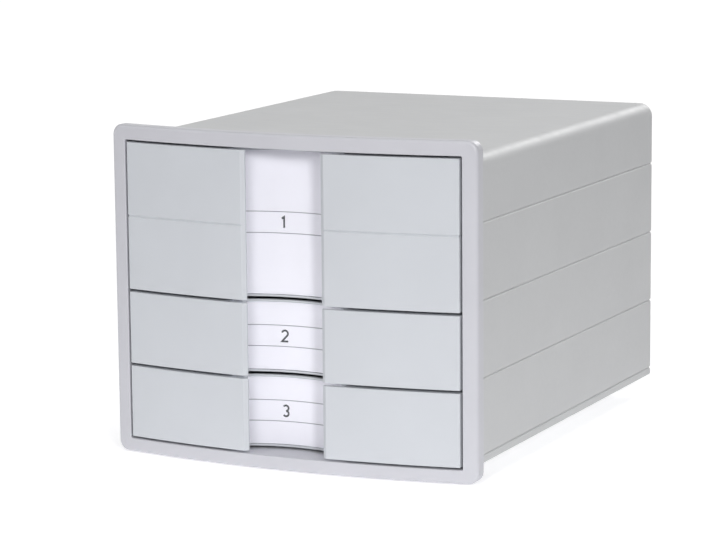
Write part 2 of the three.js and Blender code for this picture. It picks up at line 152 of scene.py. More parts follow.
# Materials
CLOUD_SIZE = 60 * MM
MARK_SIZE = 25 * MM
MARK_STRETCH = 6
GRAIN_SIZE = 0.35 * MM
GRAIN_DEPTH = 0.012 * MM
SINK_SIZE = 40 * MM
SINK_DEPTH = 0.06 * MM
PAPER_DEPTH = 0.006 * MM
BUMP_STRENGTH = 0.6
NOISE_LOW = 0.3
NOISE_HIGH = 0.7
FRAME_ROUGHNESS = 0.4
PLASTIC_ROUGHNESS = 0.5
ROUGHNESS_SPREAD = 0.04
PAPER_ROUGHNESS = (0.75, 0.9)
RUBBER_ROUGHNESS = (0.8, 0.95)
FILM_ROUGHNESS = (0.12, 0.22)
FLOOR_ROUGHNESS = (0.85, 0.95)
FILM_ALPHA = 0.05

# The two tints that each material is clouded with, as screen levels
SCREEN_WHITE = 255
SCREEN_GAMMA = 2.2
FRAME_TINTS = ((193, 193, 199), (190, 190, 196))
FRONT_TINTS = ((195, 198, 203), (192, 195, 200))
HOUSING_TINTS = ((193, 194, 195), (190, 191, 192))
TRAY_TINTS = ((206, 208, 211), (202, 204, 207))
PAPER_TINTS = ((244, 243, 251), (242, 241, 249))
LINE_TINTS = ((142, 144, 151), (132, 134, 141))
NUMBER_TINTS = ((38, 40, 46), (30, 32, 38))
RUBBER_TINTS = ((72, 73, 76), (60, 61, 64))
FILM_TINTS = ((250, 251, 255), (244, 246, 252))
FLOOR_TINTS = ((246, 246, 248), (244, 244, 246))

# Camera, in degrees and, for the lens and the sensor, in millimetres
CAMERA_PLACE = Vector((944.2, -2035.7, 494.5)) * MM
CAMERA_YAW = 25.54
CAMERA_PITCH = 9.48
CAMERA_ROLL = -0.53
CAMERA_LENS = 149.2
SENSOR_WIDTH = 36
CAMERA_CLIP_START = 10 * MM

# Floor and light
FLOOR_HALF = 800 * MM
FLOOR_GLOW = 0.42  # the strength of the floor's own light on the object
FLOOR_WHITE = 0.5  # and as the camera sees it
WORLD_STRENGTH = 0.03
WHITE_STRENGTH = 1.05
WHITE = (1, 1, 1, 1)

# Each light's azimuth and elevation in degrees, distance and size in metres, and power in watts
LIGHTS = {
    "Key": (38, 18, 3.2, 0.45, 37),
    "Front": (10, 22, 3.2, 1.2, 23),
    "Fill": (-42, 30, 3, 1.4, 12),
    "Top": (20, 78, 2.6, 1.6, 21),
    "Back": (170, 30, 3.2, 1.2, 33),
}

# Steps in the curves
BOW_STEPS = 48
SIDE_STEPS = 6
LABEL_STEPS = 20
CORNER_STEPS = 10
EDGE_STEPS = 4
ROUND_STEPS = 48
UNITS = 4
MERGE = 1e-6
SHARPEST_SHARE = 0.3  # keeps set_in from moving a sharp corner too far
SHARP_DEGREES = 32

FOOT_NODES = ("foot_front_left", "foot_front_right", "foot_rear_left", "foot_rear_right")
DRAWERS = ("bottom", "middle", "top")

# Places read from the frame
frame_low, frame_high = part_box("front_frame")
ring_low, ring_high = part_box("housing_ring_lower")
_, cover_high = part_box("housing_top")
_, front_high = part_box("top_drawer_front")
first_front_low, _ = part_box("bottom_drawer_front")

bow_radius = (frame_high.x ** 2 + FRONT_BOW ** 2) / (2 * FRONT_BOW)
collar_back = frame_high.y - COLLAR_LIP
opening_half = front_high.x + DRAWER_GAP
notch_half = opening_half + COLLAR_WALL
opening_bottom = first_front_low.z - DRAWER_GAP
opening_top = front_high.z + DRAWER_GAP
unit_pitch = (opening_top - opening_bottom - DRAWER_GAP) / UNITS
housing_half = ring_high.x
housing_inner = housing_half - HOUSING_WALL
shoulder_z = cover_high.z - SHOULDER
wall_front = ring_low.y
frame_rear = ring_high.y
first_seam = ring_low.z
base_strip_low = frame_low.z + BASE_RISE
label_centre_y = frame_low.y + RECESS_DEPTH - LABEL_RADIUS
label_angle = math.asin(LABEL_HALF / LABEL_RADIUS)
seated_angle = label_angle - MEETING_GAP / LABEL_RADIUS
card_radius = LABEL_RADIUS + WINDOW + MEETING_GAP
seat_radius = card_radius + CARD + MEETING_GAP
front_back_y = frame_low.y + RECESS_DEPTH + LABEL_SHEET
tray_half = front_high.x - TRAY_FLANGE_WIDTH
front_half = front_high.x - EXTRA_GAP


# Outlines

def arc(centre, radius, start, end, steps):
    """Points on an arc in a plane, from one angle to another, in degrees."""
    turns = [math.radians(start + (end - start) * step / steps) for step in range(steps + 1)]
    return [(centre[0] + radius * math.cos(t), centre[1] + radius * math.sin(t)) for t in turns]


def rounding(radius):
    """Steps (inset, drop) round a quarter of an edge, from the side to the face."""
    turns = [math.pi / 2 * step / EDGE_STEPS for step in range(EDGE_STEPS + 1)]
    return [(radius * (1 - math.cos(t)), radius * (1 - math.sin(t))) for t in turns]


def between(start, end, steps):
    """The points between two points, without those two, at equal steps."""
    return [
        tuple(a + (b - a) * step / steps for a, b in zip(start, end))
        for step in range(1, steps)
    ]


def soften(corners):
    """Turns corners (x, y, radius) of an open line into points, with an arc where there is a radius."""
    points = []
    for index, (x, y, radius) in enumerate(corners):
        if not radius:
            points.append((x, y))
            continue
        here = Vector((x, y))
        back = (Vector(corners[index - 1][:2]) - here).normalized()
        ahead = (Vector(corners[index + 1][:2]) - here).normalized()
        half = back.angle(ahead) / 2
        centre = here + (back + ahead).normalized() * radius / math.sin(half)
        first = here + back * radius / math.tan(half) - centre
        last = here + ahead * radius / math.tan(half) - centre
        start = math.atan2(first.y, first.x)
        turn = math.remainder(math.atan2(last.y, last.x) - start, 2 * math.pi)
        points += arc(centre, radius, math.degrees(start), math.degrees(start + turn), EDGE_STEPS)
    return points


def set_in(points, distances):
    """Moves each point of an open line to the line's left by its own distance. Points at the same
    place stay together."""
    moved = []
    for index, (point, distance) in enumerate(zip(points, distances)):
        here = Vector(point)
        steps_back = (here - Vector(other) for other in reversed(points[:index]))
        steps_ahead = (Vector(other) - here for other in points[index + 1:])
        nearest = [
            next((step for step in steps if step.length > MERGE), None)
            for steps in (steps_back, steps_ahead)
        ]
        normals = [Vector((-step.y, step.x)).normalized() for step in nearest if step]
        middle = sum(normals, Vector((0, 0))).normalized()
        share = max(middle.dot(normals[0]), SHARPEST_SHARE)
        moved.append(tuple(here + middle * distance / share))
    return moved


def face_y(x):
    """How far back the bowed face lies at a distance from the middle."""
    return frame_low.y + bow_radius - math.sqrt(bow_radius ** 2 - x ** 2)


def label_point(radius, angle):
    """A point round the label's axis, seen from above. Angle 0 is straight back."""
    return (radius * math.sin(angle), label_centre_y + radius * math.cos(angle))


def pocket_back():
    """How far back the finger pockets' rear wall lies."""
    return label_point(LABEL_RADIUS, label_angle)[1] - POCKET_STEP


# Meshes

def make_piece(name, mesh):
    """Makes an object of a finished mesh, with its normals outwards."""
    bmesh.ops.remove_doubles(mesh, verts=mesh.verts, dist=MERGE)
    bmesh.ops.recalc_face_normals(mesh, faces=mesh.faces)
    data = bpy.data.meshes.new(name)
    mesh.to_mesh(data)
    mesh.free()
    piece = bpy.data.objects.new(name, data)
    bpy.context.scene.collection.objects.link(piece)
    return piece


def loft(name, outlines, closed=True, ring=False):
    """A closed surface through outlines of equally many points. Closed outlines are loops. In a
    ring the last outline meets the first, otherwise the first and the last are filled in."""
    mesh = bmesh.new()
    rows = [[mesh.verts.new(point) for point in outline] for outline in outlines]
    count = len(rows[0])
    pairs = list(zip(rows, rows[1:]))
    if ring:
        pairs.append((rows[-1], rows[0]))
    for lower, upper in pairs:
        for here in range(count if closed else count - 1):
            there = (here + 1) % count
            mesh.faces.new((lower[here], lower[there], upper[there], upper[here]))
    ends = (rows[0], rows[-1]) if closed else ([r[0] for r in rows], [r[-1] for r in rows])
    if closed != ring:
        for end in ends:
            mesh.faces.new(end)
    return make_piece(name, mesh)


def combine(piece, others, operation):
    """Joins other solids to a piece or cuts them from it, and deletes them."""
    for other in others:
        modifier = piece.modifiers.new("Combine", "BOOLEAN")
        modifier.operation = operation
        modifier.object = other
        modifier.solver = "EXACT"
        bpy.context.view_layer.update()
        evaluated = piece.evaluated_get(bpy.context.evaluated_depsgraph_get())
        combined = bpy.data.meshes.new_from_object(evaluated)
        piece.modifiers.clear()
        piece.data = combined
        bpy.data.objects.remove(other)
    return piece


def join(piece, *others):
    return combine(piece, others, "UNION")


def cut(piece, *others):
    return combine(piece, others, "DIFFERENCE")


def plan_rectangle(low, high, radius, z, steps=EDGE_STEPS):
    """A closed plan outline with round corners."""
    bends = (
        ((high[0] - radius, low[1] + radius), -90),
        ((high[0] - radius, high[1] - radius), 0),
        ((low[0] + radius, high[1] - radius), 90),
        ((low[0] + radius, low[1] + radius), 180),
    )
    return [
        (x, y, z)
        for centre, start in bends
        for x, y in arc(centre, radius, start, start + 90, steps)
    ]


def bar(name, low, high, edge):
    """A solid bar between two corners, with its edges rounded."""
    lower = [(inset, low[2] + drop) for inset, drop in reversed(rounding(edge))]
    upper = [(inset, high[2] - drop) for inset, drop in rounding(edge)]
    outlines = [
        plan_rectangle(
            (low[0] + inset, low[1] + inset),
            (high[0] - inset, high[1] - inset),
            max(edge - inset, edge / 10),
            z,
        )
        for inset, z in lower + upper
    ]
    return loft(name, outlines)


def round_levels(name, centre, levels):
    """A turned solid from (radius, height) levels."""
    return loft(name, [
        [(x, y, z) for x, y in arc(centre, radius, 0, 360, ROUND_STEPS)[:-1]]
        for radius, z in levels
    ])


def dress(piece, name, body, material, replaced=True):
    """Smooths a finished piece, gives it its material, and says what it rides on. It is named
    after the node that it stands for, unless it is only printed on one."""
    piece.name = f"{name}_look" if replaced else name
    piece.data.shade_smooth()
    piece.data.set_sharp_from_angle(angle=math.radians(SHARP_DEGREES))
    piece.data.materials.clear()
    piece.data.materials.append(material)
    normals = piece.modifiers.new("Normals", "WEIGHTED_NORMAL")
    normals.keep_sharp = True
    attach(piece, body)
    if replaced:
        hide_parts(name)


# Front frame: a bowed bezel and the collar behind it, one moulding

def frame_loop(half, bottom, top, corner, depth_at):
    """A loop round the frame, seen from the front. Its depth follows the given function of x."""
    left, right = -half + corner, half - corner
    low, high = bottom + corner, top - corner
    loop = [
        *arc((right, low), corner, -90, 0, CORNER_STEPS),
        *between((half, low), (half, high), SIDE_STEPS),
        *arc((right, high), corner, 0, 90, CORNER_STEPS),
        *between((right, top), (left, top), BOW_STEPS),
        *arc((left, high), corner, 90, 180, CORNER_STEPS),
        *between((-half, high), (-half, low), SIDE_STEPS),
        *arc((left, low), corner, 180, 270, CORNER_STEPS),
        *between((left, bottom), (right, bottom), BOW_STEPS),
    ]
    return [(x, depth_at(x), z) for x, z in loop]


def collar_loop(depth_at):
    """The collar's outside. It follows the housing's wall from inside and ends in a raised plate."""
    half = housing_inner - MEETING_GAP
    radius = SHOULDER - HOUSING_WALL - MEETING_GAP
    plate_half = notch_half - MEETING_GAP
    bottom = opening_bottom - COLLAR_WALL
    top = opening_top + COLLAR_WALL
    corner = COLLAR_WALL / 2
    turn = math.degrees(math.acos((plate_half - half + radius) / radius))
    shoulder = arc((half - radius, shoulder_z), radius, 0, turn, CORNER_STEPS - 1)
    shoulder.append((plate_half, top))
    mirrored = [(-x, z) for x, z in reversed(shoulder)]
    loop = [
        *arc((half - corner, bottom + corner), corner, -90, 0, CORNER_STEPS),
        *between((half, bottom + corner), (half, shoulder_z), SIDE_STEPS),
        *shoulder,
        *between((plate_half, top), (-plate_half, top), BOW_STEPS),
        *mirrored,
        *between((-half, shoulder_z), (-half, bottom + corner), SIDE_STEPS),
        *arc((corner - half, bottom + corner), corner, 180, 270, CORNER_STEPS),
        *between((corner - half, bottom), (half - corner, bottom), BOW_STEPS),
    ]
    return [(x, depth_at(x), z) for x, z in loop]


def outer_loop(inset, set_back):
    return frame_loop(
        frame_high.x - inset,
        frame_low.z + inset,
        frame_high.z - inset,
        BEZEL_CORNER - inset,
        lambda x: face_y(x) + set_back,
    )


def opening_loop(outset, depth_at):
    return frame_loop(
        opening_half + outset,
        opening_bottom - outset,
        opening_top + outset,
        OPENING_CORNER + outset,
        depth_at,
    )


def build_front_frame():
    back_edge = [
        outer_loop(inset, BEZEL_DEPTH - drop) for inset, drop in reversed(rounding(BEZEL_BACK_EDGE))
    ]
    front_edge = [outer_loop(inset, drop) for inset, drop in rounding(BEZEL_FRONT_EDGE)]
    opening_edge = [
        opening_loop(inset, lambda x, drop=drop: face_y(x) + drop)
        for inset, drop in reversed(rounding(OPENING_EDGE))
    ]
    collar = [
        opening_loop(0, lambda x: collar_back),
        collar_loop(lambda x: collar_back),
        collar_loop(lambda x: face_y(x) + BEZEL_DEPTH),
    ]
    bezel = loft("Front frame", back_edge + front_edge + opening_edge + collar, ring=True)

    lip = bar(
        "Lip",
        (-opening_half, collar_back - COLLAR_WALL, opening_bottom - COLLAR_WALL),
        (opening_half, frame_high.y, opening_bottom),
        SMALL_EDGE,
    )
    return join(bezel, lip)


# Housing: a base, three rings and a top cover, stacked with a fine groove at each joint

def wall_line(inset, z):
    """A line along the housing's wall, from the right front end round the back to the left."""
    side = housing_half - inset
    rear = frame_rear - inset
    corner = max(REAR_CORNER - inset, SEAM_EDGE)
    right = [
        *between((side, wall_front), (side, rear - corner), SIDE_STEPS),
        *arc((side - corner, rear - corner), corner, 0, 90, CORNER_STEPS),
    ]
    left = [(-x, y) for x, y in reversed(right)]
    return [(x, y, z) for x, y in [(side, wall_front), *right, *left, (-side, wall_front)]]


def seam_edge(z, direction):
    """The chamfer that makes half of a side groove, with its outer corner rounded."""
    corners = [
        (SEAM_CHAMFER, 0, 0),
        (0, SEAM_CHAMFER, SEAM_EDGE),
        (0, 2 * SEAM_CHAMFER, 0),
    ]
    return [(inset, z + direction * rise) for inset, rise in soften(corners)]


def tongue_section(top):
    """The tongue over a wall's upper edge."""
    outer = HOUSING_WALL - TONGUE
    return [(outer, top), (outer, top + TONGUE_HEIGHT), (HOUSING_WALL, top + TONGUE_HEIGHT)]


def rebate_section(bottom):
    """The step inside a wall's lower edge that goes over the tongue below it."""
    top = bottom + TONGUE_HEIGHT + MEETING_GAP
    return [(HOUSING_WALL, top), (REBATE, top), (REBATE, bottom)]


def runner_bars(unit, guide_top):
    """The ribs that carry a tray's flanges and the ribs that keep them down."""
    rim = opening_bottom + (unit + 1) * unit_pitch - TRAY_RIM_DROP
    runner_top = rim - TRAY_FLANGE - SLIDE_GAP
    inner = tray_half + RUNNER_GAP
    root = housing_inner + HOUSING_WALL / 2
    back = frame_rear - HOUSING_WALL / 2
    bars = []
    for low_x, high_x in ((-root, -inner), (inner, root)):
        for bottom, top in ((runner_top - RUNNER, runner_top), (rim + GUIDE_GAP, guide_top)):
            bars.append(bar(
                "Runner",
                (low_x, collar_back + MEETING_GAP, bottom),
                (high_x, back, top),
                SMALL_EDGE,
            ))
    return bars


def build_ring(index):
    bottom = first_seam + index * unit_pitch
    top = bottom + unit_pitch
    section = [
        *seam_edge(bottom, 1),
        *reversed(seam_edge(top, -1)),
        *tongue_section(top),
        *rebate_section(bottom),
    ]
    walls = loft("Housing ring", [wall_line(inset, z) for inset, z in section], closed=False, ring=True)
    rim = opening_bottom + (index + 1) * unit_pitch - TRAY_RIM_DROP
    return join(walls, *runner_bars(index, rim + GUIDE_GAP + GUIDE))


def cover_outline(side_inset, rear_inset, front, z):
    """A closed plan outline of the top cover at one height."""
    side = housing_half - side_inset
    rear = frame_rear - rear_inset
    corner = max(REAR_CORNER - rear_inset, SEAM_EDGE)
    right = [(side, front), *arc((side - corner, rear - corner), corner, 0, 90, CORNER_STEPS)]
    return [(x, y, z) for x, y in right + [(-x, y) for x, y in reversed(right)]]


def shoulder_arc(radius):
    """Steps (inset, z) round the cover's shoulder, from its wall to its top."""
    turns = [math.pi / 2 * step / CORNER_STEPS for step in range(CORNER_STEPS + 1)]
    return [(radius * (1 - math.cos(t)), shoulder_z + radius * math.sin(t)) for t in turns]


def cover_room(inset, front, bottom):
    """The space under the cover's outer surface, moved inwards."""
    outlines = [cover_outline(inset, inset, front, bottom)]
    outlines += [
        cover_outline(inset + further, inset, front, z)
        for further, z in shoulder_arc(SHOULDER - inset)
    ]
    return loft("Room", outlines)


def build_cover():
    bottom = first_seam + (UNITS - 1) * unit_pitch
    cover_front = collar_back + MEETING_GAP
    open_front = wall_front - SHOULDER
    rear_edge = cover_high.z - REAR_TOP_EDGE

    def rear_inset(z):
        rise = min(max(z - rear_edge, 0) / REAR_TOP_EDGE, 1)
        return REAR_TOP_EDGE * (1 - math.sqrt(1 - rise ** 2))

    walls = [cover_outline(inset, inset, wall_front, z) for inset, z in seam_edge(bottom, 1)]
    roof = [
        cover_outline(inset, rear_inset(z), wall_front, z) for inset, z in shoulder_arc(SHOULDER)
    ]
    cover = loft("Housing top", walls + roof)
    notch = bar(
        "Notch",
        (-notch_half, open_front, shoulder_z),
        (notch_half, cover_front, cover_high.z + SHOULDER),
        SEAM_EDGE,
    )

    rebate = [
        cover_outline(REBATE, REBATE, open_front, z)
        for z in (bottom - SHOULDER, bottom + TONGUE_HEIGHT + MEETING_GAP)
    ]
    room = cover_room(HOUSING_WALL, open_front, bottom - SHOULDER)
    cut(cover, loft("Rebate", rebate), room, notch)
    ribs = runner_bars(UNITS - 1, cover_high.z - HOUSING_WALL / 2)
    for rib in ribs:
        combine(rib, [cover_room(HOUSING_WALL / 2, cover_front, bottom)], "INTERSECT")
    return join(cover, *ribs)


def foot_place(name):
    """A foot's middle as seen from above, its radius, and the heights of its bottom and top."""
    low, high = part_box(name)
    return ((low.x + high.x) / 2, (low.y + high.y) / 2), (high.x - low.x) / 2, low.z, high.z


def build_base():
    strip_top = first_seam
    lower_edge = [(inset, base_strip_low + drop) for inset, drop in reversed(rounding(BASE_EDGE))]
    section = [
        *lower_edge,
        *reversed(seam_edge(strip_top, -1)),
        *tongue_section(strip_top),
        (HOUSING_WALL, base_strip_low),
    ]
    strip = loft("Housing base", [wall_line(inset, z) for inset, z in section], closed=False, ring=True)
    floor_low = base_strip_low + BASE_FLOOR_RECESS
    root = housing_inner + HOUSING_WALL / 2
    floor = bar(
        "Floor",
        (-root, collar_back + MEETING_GAP, floor_low),
        (root, frame_rear - HOUSING_WALL / 2, floor_low + BASE_FLOOR),
        SMALL_EDGE,
    )
    sill_half = opening_half - OPENING_CORNER
    sill = bar(
        "Sill",
        (-sill_half, front_back_y + CLOSE_GAP, opening_bottom + MEETING_GAP),
        (sill_half, frame_high.y, floor_low + BASE_FLOOR),
        SMALL_EDGE,
    )
    bosses = []
    for name in FOOT_NODES:
        middle, radius, _, foot_top = foot_place(name)
        seat = radius + MEETING_GAP
        bosses.append(round_levels("Boss", middle, [
            (seat, foot_top + MEETING_GAP),
            (seat, BOSS_HEIGHT),
            *((seat + BOSS_WALL - inset, BOSS_HEIGHT + drop)
              for inset, drop in reversed(rounding(SEAM_EDGE))),
            (seat + BOSS_WALL, floor_low + BASE_FLOOR / 2),
        ]))
    return join(strip, floor, sill, *bosses)


def build_foot(name):
    middle, radius, bottom, top = foot_place(name)
    return round_levels("Foot", middle, [
        *((radius - inset, bottom + drop) for inset, drop in reversed(rounding(FOOT_EDGE))),
        (radius, top),
    ])


# Drawer front: one sheet seen from above, with a bowed wing on each side, a pocket behind each
# wing's inner edge for the fingers, and the hollow seat of the label in the middle

def shown_line(label_radius):
    """The line that is seen, from the left back corner to the right one, as (x, y, edge, groove):
    the shares of the edge rounding and of the unit groove that each point takes."""
    wing_start = WING_INNER + WING_BEVEL
    label_end = label_point(LABEL_RADIUS, label_angle)
    step_out = (front_half - wing_start) / BOW_STEPS
    wing = [
        (wing_start + step_out * step, face_y(wing_start + step_out * step))
        for step in range(1, BOW_STEPS)
    ]
    pocket = soften([
        (*label_end, 0),
        (POCKET_HALF, pocket_back(), SOFT_EDGE),
        (POCKET_HALF, face_y(POCKET_HALF) + WING_TIP_DEPTH, SOFT_EDGE),
        (WING_INNER, face_y(WING_INNER) + WING_TIP_DEPTH, TIP_EDGE),
        (WING_INNER, face_y(WING_INNER) + WING_BEVEL_DEPTH, TIP_EDGE),
        (wing_start, face_y(wing_start), 0),
    ])[:-1]
    bevel = soften([
        (WING_INNER, face_y(WING_INNER) + WING_BEVEL_DEPTH, 0),
        (wing_start, face_y(wing_start), BEVEL_EDGE),
        (*wing[0], 0),
    ])[1:-1]
    side = soften([
        (*wing[-1], 0),
        (front_half, face_y(front_half), SIDE_EDGE),
        (front_half, front_back_y, 0),
    ])[1:]
    right = [
        *((x, y, LABEL_EDGE / FRONT_EDGE, 0) for x, y in pocket),
        *((x, y, 1, 1) for x, y in bevel + wing + side[:-1]),
        (*side[-1], 1, 0),
    ]
    left = [(-x, y, edge, groove) for x, y, edge, groove in reversed(right)]
    turns = [label_angle * (2 * step / LABEL_STEPS - 1) for step in range(LABEL_STEPS + 1)]
    label = [(*label_point(label_radius, turn), LABEL_EDGE / FRONT_EDGE, 0) for turn in turns]
    return left + label + right


def hidden_line(solid):
    """The line of the back, from right to left: hollow between the ribs, or filled to the back."""
    inner = POCKET_HALF + FRONT_SHEET
    flank = front_high.x - LEDGE
    middles = [POCKET_HALF + share * (front_high.x - POCKET_HALF) for share in RIB_SHARES]
    hollow_starts = [inner, *(middle + LEDGE / 2 for middle in middles)]
    hollow_ends = [*(middle - LEDGE / 2 for middle in middles), flank]
    wing = []
    for start, end in reversed(list(zip(hollow_starts, hollow_ends))):
        steps = [end + (start - end) * step / SIDE_STEPS for step in range(SIDE_STEPS + 1)]
        wing += [
            (end, front_back_y),
            *((x, face_y(x) + FRONT_SHEET) for x in steps),
            (start, front_back_y),
        ]
    wing = wing[:-1]
    if solid:
        wing = [(x, front_back_y) for x, _ in wing]
    right = [*wing, (inner, pocket_back() + FRONT_SHEET / 2)]
    left = [(-x, y) for x, y in reversed(right)]
    turns = [label_angle * (1 - 2 * step / LABEL_STEPS) for step in range(LABEL_STEPS + 1)]
    return right + [label_point(LABEL_RADIUS + LABEL_SHEET, turn) for turn in turns] + left


def front_outline(z, inset=0, drop=0, groove=0, seat=False, solid=False):
    """The outline at one height. On a rounded edge each point takes its share of inset and drop."""
    line = shown_line(seat_radius if seat else LABEL_RADIUS)
    depths = [inset * edge_share + groove * groove_share for _, _, edge_share, groove_share in line]
    moved = set_in([point[:2] for point in line], depths)
    shown = [(x, y, z + drop * point[2]) for (x, y), point in zip(moved, line)]
    return shown + [(x, y, z + drop) for x, y in hidden_line(solid)]


def build_drawer_front(drawer):
    low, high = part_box(f"{drawer}_drawer_front")
    units = round((high.z - low.z + DRAWER_GAP) / unit_pitch)
    bottom, top = low.z + EXTRA_GAP, high.z - EXTRA_GAP
    lower = [
        front_outline(bottom, inset, drop, solid=True)
        for inset, drop in reversed(rounding(FRONT_EDGE))
    ]
    upper = [front_outline(top, inset, -drop, solid=True) for inset, drop in rounding(FRONT_EDGE)]
    middle = [front_outline(low.z + LEDGE, solid=True), front_outline(low.z + LEDGE, seat=True)]
    for unit in range(1, units):
        line = low.z + unit * unit_pitch - DRAWER_GAP / 2
        middle += [
            front_outline(line - GROOVE_HEIGHT / 2, seat=True),
            front_outline(line, groove=GROOVE_DEPTH, seat=True),
            front_outline(line + GROOVE_HEIGHT / 2, seat=True),
        ]
    middle += [front_outline(high.z - LEDGE, seat=True), front_outline(high.z - LEDGE, solid=True)]
    return loft("Drawer front", lower + middle + upper)


# Label: a card in its seat, a clear window over it, two ruled lines and a number

def label_band(name, inner, outer, heights, edge):
    """A curved sheet around the label's axis, with its edges rounded."""
    lower = [(inset, heights[0] + drop) for inset, drop in reversed(rounding(edge))]
    upper = [(inset, heights[1] - drop) for inset, drop in rounding(edge)]
    outlines = []
    for inset, z in lower + upper:
        angle = seated_angle - inset / LABEL_RADIUS
        turns = [angle * (2 * step / LABEL_STEPS - 1) for step in range(LABEL_STEPS + 1)]
        line = [label_point(inner + inset, turn) for turn in turns]
        line += [label_point(outer - inset, turn) for turn in reversed(turns)]
        outlines.append([(x, y, z) for x, y in line])
    return loft(name, outlines)


def ink_stroke(name, path, width, middle_z):
    """A printed line on the card, along a path of (across, up) points."""
    sides = (set_in(path, [width / 2] * len(path)), set_in(path, [-width / 2] * len(path)))
    sections = []
    for (left_x, left_z), (right_x, right_z) in zip(*sides):
        sections.append([
            (*label_point(card_radius - lift, across / card_radius), middle_z + up)
            for across, up, lift in (
                (left_x, left_z, 0),
                (left_x, left_z, INK),
                (right_x, right_z, INK),
                (right_x, right_z, 0),
            )
        ])
    return loft(name, sections)


def number_paths(number):
    """The strokes of the plain numbers 1 to 3, as shares of the number's size."""
    if number == 1:
        return [ONE_SHARES]
    if number == 2:
        bowl = arc((0, END_SHARE - TWO_BOWL_SHARE), TWO_BOWL_SHARE, 165, -35, ROUND_STEPS)
        return [[*bowl, (-TWO_BOWL_SHARE, -END_SHARE), (TWO_FOOT_SHARE, -END_SHARE)]]
    return [
        arc((0, THREE_BOWL_SHARE), THREE_BOWL_SHARE, 150, -90, ROUND_STEPS),
        arc((0, -THREE_BOWL_SHARE), THREE_BOWL_SHARE, 90, -150, ROUND_STEPS),
    ]


def build_print(number, middle_z):
    half = card_radius * seated_angle
    strokes = []
    for side in (-1, 1):
        up = side * RULE_SPACING / 2
        line = [(-half, up), *between((-half, up), (half, up), LABEL_STEPS), (half, up)]
        strokes.append(ink_stroke("Ruled line", line, RULE_HEIGHT, middle_z))
    digits = []
    for path in number_paths(number):
        scaled = [(NUMBER_SHIFT + across * DIGIT_SIZE, up * DIGIT_SIZE) for across, up in path]
        digits.append(ink_stroke("Number", scaled, DIGIT_STROKE, middle_z))
    return strokes, digits


# Drawer tray

def build_tray(drawer):
    low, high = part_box(f"{drawer}_drawer_tray")
    outer_low = (-tray_half, low.y)
    outer_high = (tray_half, high.y)
    inner_low = (TRAY_WALL - tray_half, low.y + TRAY_FRONT_WALL)
    inner_high = (tray_half - TRAY_WALL, high.y - TRAY_WALL)
    rim = high.z
    floor_top = low.z + TRAY_FLOOR

    def outer(inset, z):
        return plan_rectangle(
            (outer_low[0] + inset, outer_low[1] + inset),
            (outer_high[0] - inset, outer_high[1] - inset),
            TRAY_CORNER - inset,
            z,
            CORNER_STEPS,
        )

    def inner(inset, z):
        return plan_rectangle(
            (inner_low[0] + inset, inner_low[1] + inset),
            (inner_high[0] - inset, inner_high[1] - inset),
            max(TRAY_CORNER - TRAY_WALL - inset, SMALL_EDGE),
            z,
            CORNER_STEPS,
        )

    outlines = [outer(inset, low.z + drop) for inset, drop in reversed(rounding(TRAY_BOTTOM_EDGE))]
    outlines += [outer(inset, rim - drop) for inset, drop in rounding(SMALL_EDGE)]
    outlines += [inner(-inset, rim - drop) for inset, drop in reversed(rounding(SMALL_EDGE))]
    outlines += [inner(inset, floor_top + drop) for inset, drop in rounding(TRAY_BOTTOM_EDGE)]
    tub = loft("Drawer tray", outlines)

    bars = []
    stop_back = high.y - STOP_TAB_SETBACK + STOP_TAB
    for side in (-1, 1):
        root = side * (tray_half - TRAY_WALL / 2)
        for reach, start, end in (
            (side * front_high.x, low.y + TRAY_CORNER, high.y - TRAY_CORNER),
            (side * high.x, stop_back - STOP_TAB, stop_back),
        ):
            bars.append(bar(
                "Flange",
                (min(root, reach), start, rim - TRAY_FLANGE),
                (max(root, reach), end, rim),
                SMALL_EDGE,
            ))
    return join(tub, *bars)


# Materials

def linear_colour(levels):
    """A colour from screen levels, as the linear colour that the shader takes."""
    return (*((level / SCREEN_WHITE) ** SCREEN_GAMMA for level in levels), 1)


